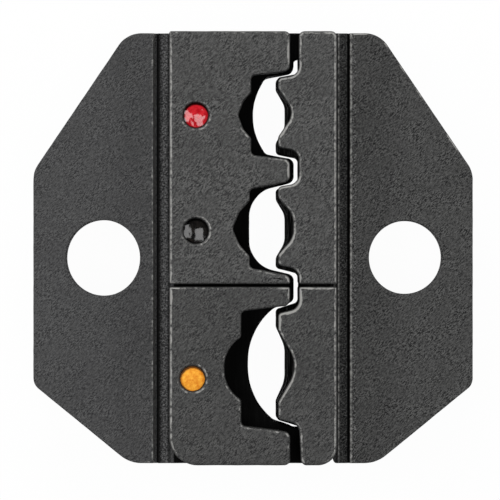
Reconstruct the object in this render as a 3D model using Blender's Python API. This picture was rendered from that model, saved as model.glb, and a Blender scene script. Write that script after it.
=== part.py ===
"""Interchangeable die set for hand crimping pliers, with three stations for insulated terminals.

The set lies on its rear faces, as it lies on a bench. X is the closing direction, Y runs along the
row of stations and Z points out of the front. The nest half is on the left and the indenter half on
the right. Each half is a carrier plate with a mounting flap, and die blocks pinned to both of its
faces. The front blocks form the wide insulation crimp. The carrier and the rear blocks form the
narrower conductor crimp.
"""

import math

import bmesh
import bpy
from mathutils import Vector

# Stack of plates, from the rear face up
REAR_THICKNESS = 0.0035
CARRIER_THICKNESS = 0.0060
FRONT_THICKNESS = 0.0035
SEAT_GAP = 0.00002                 # between faces that are pinned together
EDGE_CHAMFER = 0.00012

# Plan from left to right
FLAP_LENGTH = 0.011585             # from the back of a die block to the outer edge of its flap
NEST_WIDTH = 0.01058               # from the back of the nest blocks to the land of their carrier
LAND_GAP = 0.00037                 # between the lands of the two carriers, as photographed
INDENTER_WIDTH = 0.00328           # from the land of the indenter carrier to the back of its blocks

# Plan from top to bottom: lands and tongues between the mouths of the nests
TOP_LAND = 0.00341
UPPER_TONGUE = 0.00192             # between the red and the black station
SEAM_TONGUE = 0.00076              # between the black station and the seam
SEAM_GAP = 0.0002                  # between the upper and the lower block of a pair
LOWER_TONGUE = 0.00160             # between the seam and the yellow station
BOTTOM_LAND = 0.00285
CARRIER_RELIEF = 0.0001            # how far the blocks stand past the carrier, top and bottom

# Stations, named for the mark beside them. Widths are half widths from the station's centre line,
# and depths are measured from the land. The wire values belong to the conductor crimp.
RED = dict(
    mouth=0.00372, shoulder=0.00335, shoulder_depth=0.00330,
    recess=0.00195, belly=0.00115, belly_depth=0.00398, belly_radius=0.0012,
    recess_depth=0.00435, floor=0.00010, floor_radius=0.0003,
    wire_shoulder=0.00325, wire_shoulder_depth=0.00243, wire_shoulder_radius=0.0006,
    wire_floor=0.00142, wire_depth=0.00346, wire_radius=0.0050, wire_rise=0.0,
    root=0.00322, tip=0.00295, tooth=0.00205, valley=0.00040, valley_depth=0.00110,
    valley_radius=0.0014, wire_tooth=0.00225, wire_valley=0.00094,
    mark_inset=0.002265, mark_drop=0.0,
)
BLACK = dict(
    mouth=0.00396, shoulder=0.00332, shoulder_depth=0.00342,
    recess=0.00235, belly=0.00135, belly_depth=0.00430, belly_radius=0.0014,
    recess_depth=0.00482, floor=0.00015, floor_radius=0.0004,
    wire_shoulder=0.00332, wire_shoulder_depth=0.00264, wire_shoulder_radius=0.0024,
    wire_floor=0.00191, wire_depth=0.00378, wire_radius=0.0025, wire_rise=0.0,
    root=0.00366, tip=0.00334, tooth=0.00240, valley=0.00095, valley_depth=0.00128,
    valley_radius=0.0016, wire_tooth=0.00247, wire_valley=0.00120,
    mark_inset=0.00226, mark_drop=0.0002,
)
YELLOW = dict(
    mouth=0.00535, shoulder=0.00483, shoulder_depth=0.00414,
    recess=0.00264, recess_depth=0.00556, floor=0.00165, floor_radius=0.0029,
    wire_shoulder=0.00481, wire_shoulder_depth=0.00168, wire_shoulder_radius=0.0010,
    wire_floor=0.00292, wire_depth=0.00389, wire_radius=0.0062, wire_rise=0.0003,
    root=0.00492, tip=0.00450, tooth=0.00300, valley=0.00075, valley_depth=0.00133,
    valley_radius=0.0026, wire_tooth=0.00315, wire_valley=0.00145,
    mark_inset=0.00198, mark_drop=0.00085,
)

# Fit of the teeth in the nests and of one layer on the next
FRONT_NEST_SETBACK = 0.00031       # land of the front nest blocks behind that of their carrier
REAR_NEST_SETBACK = 0.00003
FRONT_INDENTER_SETBACK = 0.000035  # land of the front indenter blocks behind that of their carrier
REAR_INDENTER_ADVANCE = 0.00003    # land of the rear ones ahead of it
TOOTH_HEIGHT = 0.00177             # of the front teeth above their land
WIRE_TOOTH_EXTRA = 0.00005         # by which each layer behind stands further out
WIRE_VALLEY_DEPTH = 0.00076
CARRIER_VALLEY_EXTRA = 0.00016     # how much deeper the carrier's valleys are than the rear ones
TOOTH_RISE = 0.0002                # of the front teeth above the middle of their nests
WIRE_CLEARANCE = 0.00020           # between a conductor tooth and the side of its nest

# Fillets of the crimp edges
MOUTH_RADIUS = 0.0006
SHOULDER_RADIUS = 0.0004
ROOT_RADIUS = 0.0009
WIRE_ROOT_RADIUS = 0.0004
TIP_RADIUS = 0.0004
TOOTH_RADIUS = 0.0007

# Outer corners of the die blocks
BLOCK_RADIUS = 0.0002
UPPER_END_RADIUS = 0.0005
NEST_FOOT_RADIUS = 0.0024
INDENTER_FOOT_RADIUS = 0.0016
FOOT_RELIEF = 0.0002               # by which the lower indenter block narrows towards its foot

# Flaps
FLAP_TOP_CUT = 0.00795             # upper slope, along the top edge
FLAP_TOP_DROP = 0.01175            # upper slope, down the outer edge
FLAP_FOOT_CUT = 0.00820
FLAP_FOOT_RISE = 0.00670
FLAP_TOP_RADIUS = 0.0023
FLAP_FOOT_RADIUS = 0.0030
FLAP_SIDE_RADIUS = 0.0012

# Mounting bores. The edge is that of the flap, stretch is by how much a bore is taller than wide,
# and drop is how far its axis lies below the middle of the carrier.
NEST_BORE = dict(diameter=0.00629, stretch=0.00016, edge_distance=0.005935, drop=0.00083)
INDENTER_BORE = dict(diameter=0.00622, stretch=0.0, edge_distance=0.00573, drop=0.00079)

# Relief grooves at the feet of the blocks, with a deeper slit along their outer wall. Start and
# width are measured from the back of the blocks, and lean is how far the outer wall opens.
GROOVE_DEPTH = 0.0004
GROOVE_SLIT_WIDTH = 0.00022
GROOVE_SLIT_DEPTH = 0.0009
NEST_GROOVE = dict(start=-0.0001, width=0.001395, lean=0.0002)
INDENTER_GROOVE = dict(start=0.00025, width=0.00113, lean=0.00002)

# Horns of the nest carrier and their slots in the indenter carrier
HORN_LENGTH = 0.00278              # past the land
HORN_SHOULDER = 0.00110            # land left between the upper horn and the red nest
HORN_RADIUS = 0.0003
HORN_CLEARANCE = 0.0001
HORN_END_CLEARANCE = 0.0002        # left when the lands touch

# Pins and marks
PIN_DIAMETER = 0.0016
PIN_CLEARANCE = 0.00002            # radial
PIN_SEAT = 0.0023                  # length of a pin inside the front block
PIN_END_GAP = 0.0001
PIN_RECESS = 0.00005               # pin ends below the rear face
PIN_CHAMFER = 0.00015
NEST_PIN_INSET = 0.0027            # from the back of the block
NEST_PIN_END = 0.0024              # from the ends of the block
MARK_DIAMETER = 0.0021
MARK_CLEARANCE = 0.00003
MARK_RECESS = 0.0005
MARK_THICKNESS = 0.0003
MARK_DOME = 0.0001
MARK_CHAMFER = 0.00015

# Facets
ARC_TOLERANCE = 0.000012           # how far a facet may lie from its arc
BORE_SIDES = 48
PIN_SIDES = 24
OVERCUT = 0.001                    # how far a cutter reaches past the face that it opens
LEAST_RADIUS = 0.00001
FILLET_SHARE = 0.98                # of an edge that the two fillets at its ends may take
SMOOTH_ANGLE = 30                  # degrees, under which two facets belong to one round face
FLAT_ANGLE = 0.05                  # degrees, under which two facets belong to one flat face

# Levels
carrier_low = REAR_THICKNESS + SEAT_GAP
carrier_high = carrier_low + CARRIER_THICKNESS
front_low = carrier_high + SEAT_GAP
front_high = front_low + FRONT_THICKNESS
middle_height = (carrier_low + carrier_high) / 2

# Places along X
half_width = FLAP_LENGTH + (NEST_WIDTH + LAND_GAP + INDENTER_WIDTH) / 2
nest_back = FLAP_LENGTH - half_width
nest_land = nest_back + NEST_WIDTH
indenter_land = nest_land + LAND_GAP
indenter_back = indenter_land + INDENTER_WIDTH
horn_tip = nest_land + HORN_LENGTH
slot_end = horn_tip + LAND_GAP + HORN_END_CLEARANCE

# Places along Y
nest_mouths = RED["mouth"] + BLACK["mouth"] + YELLOW["mouth"]
tongues = UPPER_TONGUE + SEAM_TONGUE + SEAM_GAP + LOWER_TONGUE
block_top = (TOP_LAND + tongues + BOTTOM_LAND) / 2 + nest_mouths
block_bottom = -block_top
red_centre = block_top - TOP_LAND - RED["mouth"]
black_centre = red_centre - RED["mouth"] - UPPER_TONGUE - BLACK["mouth"]
seam_top = black_centre - BLACK["mouth"] - SEAM_TONGUE
seam_bottom = seam_top - SEAM_GAP
yellow_centre = seam_bottom - LOWER_TONGUE - YELLOW["mouth"]
carrier_top = block_top - CARRIER_RELIEF
carrier_bottom = -carrier_top
upper_horn_edge = red_centre + RED["mouth"] + HORN_SHOULDER
lower_horn_edge = yellow_centre + YELLOW["wire_rise"] - YELLOW["mouth"]

UPPER_STATIONS = ((BLACK, black_centre), (RED, red_centre))
LOWER_STATIONS = ((YELLOW, yellow_centre),)


def clear_scene():
    for item in list(bpy.data.objects):
        bpy.data.objects.remove(item, do_unlink=True)


def make_material(name, colour, roughness, metallic, coat=0.0):
    material = bpy.data.materials.new(name)
    material.use_nodes = True
    shader = material.node_tree.nodes["Principled BSDF"]
    shader.inputs["Base Color"].default_value = (*colour, 1.0)
    shader.inputs["Roughness"].default_value = roughness
    shader.inputs["Metallic"].default_value = metallic
    shader.inputs["Coat Weight"].default_value = coat
    material.diffuse_color = (*colour, 1.0)
    return material


def corner_turns(corners):
    """Unit directions into and out of each corner, and the signed angle that the outline turns."""
    turns = []
    count = len(corners)
    for index, corner in enumerate(corners):
        here = Vector(corner[:2])
        before = (here - Vector(corners[index - 1][:2])).normalized()
        after = (Vector(corners[(index + 1) % count][:2]) - here).normalized()
        turns.append((before, after, math.atan2(before.cross(after), before.dot(after))))
    return turns


def fitted_fillets(corners):
    """The corners, with each fillet limited so that two of them share an edge without crossing."""
    turns = corner_turns(corners)
    count = len(corners)
    reach = [corner[2] * math.tan(abs(turn[2]) / 2) for corner, turn in zip(corners, turns)]
    limit = [1.0] * count
    for index in range(count):
        following = (index + 1) % count
        edge = (Vector(corners[following][:2]) - Vector(corners[index][:2])).length
        wanted = reach[index] + reach[following]
        room = FILLET_SHARE * edge
        if wanted > room:
            limit[index] = min(limit[index], room / wanted)
            limit[following] = min(limit[following], room / wanted)
    return [(x, y, radius * share) for (x, y, radius), share in zip(corners, limit)]


def inset_corners(corners, distance):
    """The corners moved inwards: convex fillets shrink by the distance and concave ones grow."""
    moved = []
    for (x, y, radius), (before, after, turn) in zip(corners, corner_turns(corners)):
        normal = Vector((-before.y - after.y, before.x + after.x)).normalized()
        place = Vector((x, y)) + normal * distance / math.cos(turn / 2)
        change = -distance if turn > 0 else distance
        moved.append((place.x, place.y, max(radius + change, LEAST_RADIUS)))
    return moved


def arc_steps(corners):
    """How many facets each fillet needs, so that none lies further from its arc than allowed."""
    steps = []
    for (x, y, radius), (before, after, turn) in zip(corners, corner_turns(corners)):
        facet = 2 * math.acos(max(0.0, 1 - ARC_TOLERANCE / max(radius, LEAST_RADIUS)))
        steps.append(max(1, math.ceil(abs(turn) / facet)))
    return steps


def filleted_outline(corners, steps):
    """Points of the closed outline, with an arc of the given number of facets at each corner."""
    points = []
    for (x, y, radius), (before, after, turn), count in zip(corners, corner_turns(corners), steps):
        side = 1 if turn > 0 else -1
        reach = radius * math.tan(abs(turn) / 2)
        start = Vector((x, y)) - before * reach
        to_centre = Vector((-before.y, before.x)) * side * radius
        centre = start + to_centre
        for step in range(count + 1):
            angle = turn * step / count
            arm = -to_centre
            points.append(centre + Vector((
                arm.x * math.cos(angle) - arm.y * math.sin(angle),
                arm.x * math.sin(angle) + arm.y * math.cos(angle),
            )))
    return points


def add_object(name, mesh, material, parent, height=0.0):
    """A named object that carries the mesh, at the given height and under its parent empty."""
    item = bpy.data.objects.new(name, mesh)
    bpy.context.collection.objects.link(item)
    if material is not None:
        mesh.materials.append(material)
    item.parent = parent
    item.location = Vector((0, 0, height)) - parent.location
    return item


def mesh_from_bmesh(name, shape):
    bmesh.ops.recalc_face_normals(shape, faces=shape.faces)
    mesh = bpy.data.meshes.new(name)
    shape.to_mesh(mesh)
    shape.free()
    return mesh


def bridge(shape, lower, upper):
    """Wall of quads between two rings of as many vertices."""
    count = len(lower)
    for index in range(count):
        following = (index + 1) % count
        shape.faces.new((lower[index], lower[following], upper[following], upper[index]))


def ring_edges(shape, ring):
    return [shape.edges.get((first, second)) for first, second in zip(ring, ring[1:] + ring[:1])]


def circle(centre, radius, sides, stretch=0.0):
    """Points of a circle, or of an oval that is taller than wide by the stretch."""
    angles = [2 * math.pi * side / sides for side in range(sides)]
    tall = radius + stretch / 2
    return [(centre[0] + radius * math.cos(a), centre[1] + tall * math.sin(a)) for a in angles]


def add_wall(shape, outlines):
    """Rings at their heights with walls between them; returns the rings."""
    rings = [[shape.verts.new((x, y, z)) for x, y in outline] for outline, z in outlines]
    for lower, upper in zip(rings, rings[1:]):
        bridge(shape, lower, upper)
    return rings


def plate(name, corners, low, high, chamfers, holes, material, parent):
    """A plate with the filleted outline, a chamfered edge round the faces in chamfers, and holes.

    Each hole is (centre, profile, sides, open faces, stretch). Its profile holds (radius, height
    above the plate's lower face), and the end that isn't open gets a flat floor.
    """
    fitted = fitted_fillets(corners)
    steps = arc_steps(fitted)
    full = filleted_outline(fitted, steps)
    inset = filleted_outline(inset_corners(fitted, EDGE_CHAMFER), steps)
    thickness = high - low
    outlines = [(inset, 0.0), (full, EDGE_CHAMFER)] if "low" in chamfers else [(full, 0.0)]
    if "high" in chamfers:
        outlines += [(full, thickness - EDGE_CHAMFER), (inset, thickness)]
    else:
        outlines.append((full, thickness))

    shape = bmesh.new()
    rings = add_wall(shape, outlines)
    faces = {"low": [rings[0]], "high": [rings[-1]]}
    for centre, profile, sides, opens, stretch in holes:
        circles = [(circle(centre, radius, sides, stretch), z) for radius, z in profile]
        rings = add_wall(shape, circles)
        for side, ring in (("low", rings[0]), ("high", rings[-1])):
            if side in opens:
                faces[side].append(ring)
            else:
                shape.faces.new(ring)
    for outlines in faces.values():
        edges = [edge for ring in outlines for edge in ring_edges(shape, ring)]
        bmesh.ops.triangle_fill(shape, use_beauty=True, edges=edges)
    return add_object(name, mesh_from_bmesh(name, shape), material, parent, low)


def turned(name, profile, sides, centre, height, material, parent):
    """A solid of revolution about Z: profile holds (radius, height) from the bottom to the top."""
    shape = bmesh.new()
    rings = add_wall(shape, [(circle(centre, radius, sides), z) for radius, z in profile])
    shape.faces.new(rings[0])
    shape.faces.new(rings[-1])
    item = add_object(name, mesh_from_bmesh(name, shape), material, parent, height)
    item.data.shade_smooth()
    item.data.set_sharp_from_angle(angle=math.radians(SMOOTH_ANGLE))
    return item


def as_cutter(item):
    item.hide_render = True
    item.display_type = "WIRE"
    return item


def cut(target, cutter):
    modifier = target.modifiers.new(cutter.name, "BOOLEAN")
    modifier.operation = "DIFFERENCE"
    modifier.solver = "EXACT"
    modifier.object = cutter


def station_corners(centre, land, half):
    """Corners of one station from bottom to top: half holds (depth, half width, fillet radius)."""
    lower = [(land - depth, centre - width, radius) for depth, width, radius in half]
    upper = [(x, 2 * centre - y, radius) for x, y, radius in reversed(lower)]
    return lower + upper


def insulation_nest(size):
    """Stepped nest: the two smaller ones have a belly between their recess and their floor."""
    belly = [(size["belly_depth"], size["belly"], size["belly_radius"])] if "belly" in size else []
    return [
        (0.0, size["mouth"], MOUTH_RADIUS),
        (size["shoulder_depth"], size["shoulder"], SHOULDER_RADIUS),
        (size["shoulder_depth"], size["recess"], SHOULDER_RADIUS),
        *belly,
        (size["recess_depth"], size["floor"], size["floor_radius"]),
    ]


def wire_nest(size):
    return [
        (0.0, size["mouth"], MOUTH_RADIUS),
        (size["wire_shoulder_depth"], size["wire_shoulder"], size["wire_shoulder_radius"]),
        (size["wire_depth"], size["wire_floor"], size["wire_radius"]),
    ]


def insulation_teeth(size):
    return [
        (0.0, size["root"], ROOT_RADIUS),
        (TOOTH_HEIGHT, size["tip"], TIP_RADIUS),
        (TOOTH_HEIGHT, size["tooth"], TOOTH_RADIUS),
        (TOOTH_HEIGHT - size["valley_depth"], size["valley"], size["valley_radius"]),
    ]


def wire_teeth(size, layer):
    """Paired conductor teeth, whose outer flanks run beside the mouth of the conductor nest."""
    slope = (size["mouth"] - size["wire_shoulder"]) / size["wire_shoulder_depth"]
    height = TOOTH_HEIGHT + WIRE_TOOTH_EXTRA * layer
    valley_depth = WIRE_VALLEY_DEPTH + CARRIER_VALLEY_EXTRA * (2 - layer)
    root = size["mouth"] + slope * LAND_GAP - WIRE_CLEARANCE
    tip = size["mouth"] + slope * (LAND_GAP - height) - WIRE_CLEARANCE
    return [
        (0.0, root, WIRE_ROOT_RADIUS),
        (height, tip, TIP_RADIUS),
        (height, size["wire_tooth"], TOOTH_RADIUS),
        (height - valley_depth, size["wire_valley"], size["valley_radius"]),
    ]


def carrier_wire_teeth(size):
    return wire_teeth(size, 1)


def rear_wire_teeth(size):
    return wire_teeth(size, 2)


def edge_corners(stations, land, profile, rise):
    """Crimp edge from bottom to top: the profile of each station on the given land.

    The rise lifts the profiles above the middle of their nests. None means each one's wire rise.
    """
    corners = []
    for size, centre in stations:
        lifted = centre + (size["wire_rise"] if rise is None else rise)
        corners.extend(station_corners(lifted, land, profile(size)))
    return corners


def flap_corners(side):
    """Corners of a flap from bottom to top, on the side -1 (left) or 1 (right)."""
    outer = side * half_width
    return [
        (outer - side * FLAP_FOOT_CUT, carrier_bottom, FLAP_FOOT_RADIUS),
        (outer, carrier_bottom + FLAP_FOOT_RISE, FLAP_SIDE_RADIUS),
        (outer, carrier_top - FLAP_TOP_DROP, FLAP_TOP_RADIUS),
        (outer - side * FLAP_TOP_CUT, carrier_top, FLAP_TOP_RADIUS),
    ]


def nest_carrier_corners():
    edge = edge_corners(LOWER_STATIONS + UPPER_STATIONS, nest_land, wire_nest, None)
    lower_horn = [
        (horn_tip, carrier_bottom, HORN_RADIUS),
        (horn_tip, lower_horn_edge, HORN_RADIUS),
    ]
    upper_horn = [
        (nest_land, upper_horn_edge, HORN_RADIUS),
        (horn_tip, upper_horn_edge, HORN_RADIUS),
        (horn_tip, carrier_top, HORN_RADIUS),
    ]
    flap = flap_corners(-1)
    return flap[:1] + lower_horn + edge + upper_horn + flap[:0:-1]


def indenter_carrier_corners():
    edge = edge_corners(LOWER_STATIONS + UPPER_STATIONS, indenter_land, carrier_wire_teeth, None)
    edge[0] = (indenter_land, lower_horn_edge + HORN_CLEARANCE, WIRE_ROOT_RADIUS)
    upper_slot = [
        (slot_end, carrier_top, HORN_RADIUS),
        (slot_end, upper_horn_edge - HORN_CLEARANCE, HORN_RADIUS),
        (indenter_land, upper_horn_edge - HORN_CLEARANCE, HORN_RADIUS),
    ]
    lower_slot = [
        (slot_end, lower_horn_edge + HORN_CLEARANCE, HORN_RADIUS),
        (slot_end, carrier_bottom, HORN_RADIUS),
    ]
    return flap_corners(1) + upper_slot + edge[::-1] + lower_slot


def nest_block_corners(low, high, land, edge, radii):
    """Outline of a nest block: radii at its lower back, lower front, upper front and upper back."""
    return [
        (nest_back, low, radii[0]),
        (land, low, radii[1]),
        *edge,
        (land, high, radii[2]),
        (nest_back, high, radii[3]),
    ]


def indenter_block_corners(low, high, land, edge, radii):
    """Outline of an indenter block: radii at its lower front, lower back, upper back, upper front."""
    return [
        (land, low, radii[0]),
        (indenter_back, low, radii[1]),
        (indenter_back, high, radii[2]),
        (land, high, radii[3]),
        *edge[::-1],
    ]


def indenter_foot_corners(low, high, land, edge, radii):
    """The same outline, narrowed towards its foot."""
    corners = indenter_block_corners(low, high, land, edge, radii)
    corners[0] = (land + FOOT_RELIEF, low, radii[0])
    return corners


def groove_cutter(side, name, face, outwards, parent):
    """Prism along Y that cuts the relief groove at the foot of the block, and the slit in it."""
    back = nest_back if side < 0 else indenter_back
    groove = NEST_GROOVE if side < 0 else INDENTER_GROOVE
    foot = groove["width"] - groove["lean"]
    rise = groove["lean"] * OVERCUT / GROOVE_SLIT_DEPTH
    outline = [
        (groove["start"], -GROOVE_DEPTH),
        (foot - GROOVE_SLIT_WIDTH, -GROOVE_DEPTH),
        (foot - GROOVE_SLIT_WIDTH, -GROOVE_SLIT_DEPTH),
        (foot, -GROOVE_SLIT_DEPTH),
        (groove["width"] + rise, OVERCUT),
        (groove["start"], OVERCUT),
    ]
    section = [(back + side * across, face + outwards * height) for across, height in outline]
    reach = block_top + OVERCUT
    shape = bmesh.new()
    ends = [[shape.verts.new((x, y, z)) for x, z in section] for y in (-reach, reach)]
    bridge(shape, *ends)
    for ring in ends:
        shape.faces.new(ring)
    return as_cutter(add_object(name, mesh_from_bmesh(name, shape), None, parent))


def bore(side):
    """Mounting bore with a countersunk edge on both faces of the flap."""
    size = NEST_BORE if side < 0 else INDENTER_BORE
    radius = size["diameter"] / 2
    profile = [
        (radius + EDGE_CHAMFER, 0.0),
        (radius, EDGE_CHAMFER),
        (radius, CARRIER_THICKNESS - EDGE_CHAMFER),
        (radius + EDGE_CHAMFER, CARRIER_THICKNESS),
    ]
    centre = (side * (half_width - size["edge_distance"]), -size["drop"])
    return centre, profile, BORE_SIDES, ("low", "high"), size["stretch"]


def pin_holes(places, depth, opens):
    radius = PIN_DIAMETER / 2 + PIN_CLEARANCE
    return [(place, [(radius, 0.0), (radius, depth)], PIN_SIDES, opens, 0.0) for place in places]


def mark_recess(place):
    radius = MARK_DIAMETER / 2 + MARK_CLEARANCE
    profile = [
        (radius, FRONT_THICKNESS - MARK_RECESS),
        (radius, FRONT_THICKNESS - MARK_CHAMFER),
        (radius + MARK_CHAMFER, FRONT_THICKNESS),
    ]
    return place, profile, PIN_SIDES, ("high",), 0.0


def add_pins(name, places, material, parent):
    """Chamfered pins, flush with the rear face and blind in the front block."""
    radius = PIN_DIAMETER / 2
    length = front_low + PIN_SEAT - PIN_RECESS
    profile = [
        (radius - PIN_CHAMFER, 0),
        (radius, PIN_CHAMFER),
        (radius, length - PIN_CHAMFER),
        (radius - PIN_CHAMFER, length),
    ]
    for number, place in enumerate(places, start=1):
        turned(f"{name}_{number}", profile, PIN_SIDES, place, PIN_RECESS, material, parent)


def add_mark(name, place, colour, roughness, parent):
    """An enamel drop with a domed face on the floor of its recess."""
    radius = MARK_DIAMETER / 2
    wall = MARK_THICKNESS - MARK_DOME
    dome = [(radius * math.cos(angle), wall + MARK_DOME * math.sin(angle))
            for angle in (0.0, math.pi / 8, math.pi / 4, 3 * math.pi / 8)]
    enamel = make_material(name + "_enamel", colour, roughness, 0.0, coat=0.5)
    height = front_high - MARK_RECESS + SEAT_GAP
    turned(name, [(radius, 0.0), *dome], PIN_SIDES, place, height, enamel, parent)


def make_half_empty(name):
    """Parent of one half, on the closing axis at the middle of the carrier's thickness."""
    empty = bpy.data.objects.new(name, None)
    bpy.context.collection.objects.link(empty)
    empty.location = (0, 0, middle_height)
    return empty


def add_stack(half_name, level, edges, lands, radii, holes, steel, parent):
    """The front and the rear die block of one stack, with their pin holes."""
    low, high, outline = level
    front_edge, rear_edge = edges
    front_land, rear_land = lands
    pins, front_holes = holes
    front_pins = pin_holes(pins, PIN_SEAT + PIN_END_GAP, ("low",))
    plate(f"{half_name[0]}_front_{half_name[1]}", outline(low, high, front_land, front_edge, radii),
          front_low, front_high, ("high",), front_pins + front_holes, steel, parent)
    rear_pins = pin_holes(pins, REAR_THICKNESS, ("low", "high"))
    plate(f"{half_name[0]}_rear_{half_name[1]}", outline(low, high, rear_land, rear_edge, radii),
          0.0, REAR_THICKNESS, ("low",), rear_pins, steel, parent)


def build_nest_half(steel, pin_steel):
    half = make_half_empty("nest_half")
    lands = (nest_land - FRONT_NEST_SETBACK, nest_land - REAR_NEST_SETBACK)
    pin_x = nest_back + NEST_PIN_INSET
    upper_pins = [(pin_x, block_top - NEST_PIN_END), (pin_x, seam_top + NEST_PIN_END)]
    lower_pins = [(pin_x, seam_bottom - NEST_PIN_END), (pin_x, block_bottom + NEST_PIN_END)]
    red_place, black_place, yellow_place = [
        (nest_back + size["mark_inset"], centre - size["mark_drop"])
        for size, centre in ((RED, red_centre), (BLACK, black_centre), (YELLOW, yellow_centre))
    ]
    stacks = (
        ("upper", (seam_top, block_top, nest_block_corners), UPPER_STATIONS,
         (BLOCK_RADIUS, BLOCK_RADIUS, UPPER_END_RADIUS, BLOCK_RADIUS), upper_pins,
         [mark_recess(red_place), mark_recess(black_place)]),
        ("lower", (block_bottom, seam_bottom, nest_block_corners), LOWER_STATIONS,
         (NEST_FOOT_RADIUS, UPPER_END_RADIUS, BLOCK_RADIUS, BLOCK_RADIUS), lower_pins,
         [mark_recess(yellow_place)]),
    )
    for name, level, stations, radii, pins, recesses in stacks:
        edges = (edge_corners(stations, lands[0], insulation_nest, 0.0),
                 edge_corners(stations, lands[1], wire_nest, None))
        add_stack(("nest", name), level, edges, lands, radii, (pins, recesses), steel, half)
        add_pins(f"nest_{name}_pin", pins, pin_steel, half)
    add_carrier("nest_carrier", -1, nest_carrier_corners(), upper_pins + lower_pins, steel, half)

    add_mark("mark_red", red_place, (0.52, 0.012, 0.02), 0.25, half)
    add_mark("mark_black", black_place, (0.008, 0.009, 0.009), 0.15, half)
    add_mark("mark_yellow", yellow_place, (0.91, 0.38, 0.02), 0.5, half)


def build_indenter_half(steel, pin_steel):
    half = make_half_empty("indenter_half")
    lands = (indenter_land + FRONT_INDENTER_SETBACK, indenter_land - REAR_INDENTER_ADVANCE)
    pin_x = (lands[0] + indenter_back) / 2
    upper_pins = [(pin_x, red_centre + RED["tooth"]), (pin_x, black_centre - BLACK["tooth"])]
    lower_pins = [(pin_x, yellow_centre + YELLOW["tooth"]), (pin_x, yellow_centre - YELLOW["tooth"])]
    stacks = (
        ("upper", (seam_top, block_top, indenter_block_corners), UPPER_STATIONS,
         (BLOCK_RADIUS, BLOCK_RADIUS, UPPER_END_RADIUS, UPPER_END_RADIUS), upper_pins),
        ("lower", (block_bottom, seam_bottom, indenter_foot_corners), LOWER_STATIONS,
         (UPPER_END_RADIUS, INDENTER_FOOT_RADIUS, BLOCK_RADIUS, BLOCK_RADIUS), lower_pins),
    )
    for name, level, stations, radii, pins in stacks:
        edges = (edge_corners(stations, lands[0], insulation_teeth, TOOTH_RISE),
                 edge_corners(stations, lands[1], rear_wire_teeth, None))
        add_stack(("indenter", name), level, edges, lands, radii, (pins, []), steel, half)
        add_pins(f"indenter_{name}_pin", pins, pin_steel, half)
    add_carrier("indenter_carrier", 1, indenter_carrier_corners(), upper_pins + lower_pins, steel, half)


def add_carrier(name, side, corners, pins, steel, half):
    """Carrier plate with its bore, its pin holes and a relief groove on each face."""
    holes = [bore(side), *pin_holes(pins, CARRIER_THICKNESS, ("low", "high"))]
    carrier = plate(name, corners, carrier_low, carrier_high, ("low", "high"), holes, steel, half)
    cut(carrier, groove_cutter(side, name + "_front_groove", carrier_high, 1, half))
    cut(carrier, groove_cutter(side, name + "_rear_groove", carrier_low, -1, half))
    merged = carrier.modifiers.new("Merged flat faces", "DECIMATE")
    merged.decimate_type = "DISSOLVE"
    merged.angle_limit = math.radians(FLAT_ANGLE)
    triangles = carrier.modifiers.new("Triangles", "TRIANGULATE")
    triangles.ngon_method = "BEAUTY"


def main():
    clear_scene()
    steel = make_material("phosphated_tool_steel", (0.058, 0.058, 0.060), 0.6, 0.6)
    pin_steel = make_material("oiled_pin_steel", (0.09, 0.09, 0.095), 0.4, 0.9)
    build_nest_half(steel, pin_steel)
    build_indenter_half(steel, pin_steel)


main()
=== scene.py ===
import math
import bmesh
import bpy
import numpy as np
from mathutils import Matrix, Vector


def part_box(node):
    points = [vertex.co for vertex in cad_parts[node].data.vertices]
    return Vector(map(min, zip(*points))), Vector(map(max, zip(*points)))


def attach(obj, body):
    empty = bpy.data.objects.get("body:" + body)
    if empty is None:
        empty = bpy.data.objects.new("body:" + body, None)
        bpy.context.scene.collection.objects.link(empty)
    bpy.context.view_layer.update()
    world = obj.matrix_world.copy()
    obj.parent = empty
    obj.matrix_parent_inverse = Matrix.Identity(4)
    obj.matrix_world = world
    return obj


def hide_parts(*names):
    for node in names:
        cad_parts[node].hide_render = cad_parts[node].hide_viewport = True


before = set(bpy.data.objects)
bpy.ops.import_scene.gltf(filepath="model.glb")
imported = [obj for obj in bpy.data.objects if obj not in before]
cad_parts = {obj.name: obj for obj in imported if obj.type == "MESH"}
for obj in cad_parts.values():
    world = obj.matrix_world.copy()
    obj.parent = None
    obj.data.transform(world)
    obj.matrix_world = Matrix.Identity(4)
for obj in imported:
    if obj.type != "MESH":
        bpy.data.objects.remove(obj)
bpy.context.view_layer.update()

mm = 0.001  # every size below is in millimetres


def hexLinear(code):
    # sRGB hex value to linear red, green, blue and alpha
    value = np.array([int(code[i:i + 2], 16) / 255 for i in (1, 3, 5)])
    linear = np.where(value <= 0.04045, value / 12.92, ((value + 0.055) / 1.055) ** 2.4)
    return (*linear.tolist(), 1.0)


def feed(tree, node, inputs):
    # the inputs of a node, by name or in order: each is a value, or the socket that feeds it
    for name, value in inputs.items() if isinstance(inputs, dict) else enumerate(inputs):
        if isinstance(value, bpy.types.NodeSocket):
            tree.links.new(value, node.inputs[name])
        else:
            node.inputs[name].default_value = value


def addNode(tree, kind, settings=None, inputs=(), output=0):
    # one shader node with its settings and links; the socket of its output comes back
    node = tree.nodes.new("ShaderNode" + kind)
    for name, value in (settings or {}).items():
        setattr(node, name, value)
    feed(tree, node, inputs)
    return node.outputs[output]


def newMaterial(name):
    material = bpy.data.materials.new(name)
    material.use_nodes = True
    tree = material.node_tree
    return material, tree, tree.nodes["Principled BSDF"]


# Settings that many nodes share
smooth = {"interpolation_type": "SMOOTHSTEP"}
times, timesPlus, largest = [{"operation": name} for name in ("MULTIPLY", "MULTIPLY_ADD", "MAXIMUM")]
scaled = {"operation": "SCALE"}
inColour = {"data_type": "RGBA"}
noiseRange = (0.3, 0.7)         # nearly all values of a noise lie in it

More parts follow.
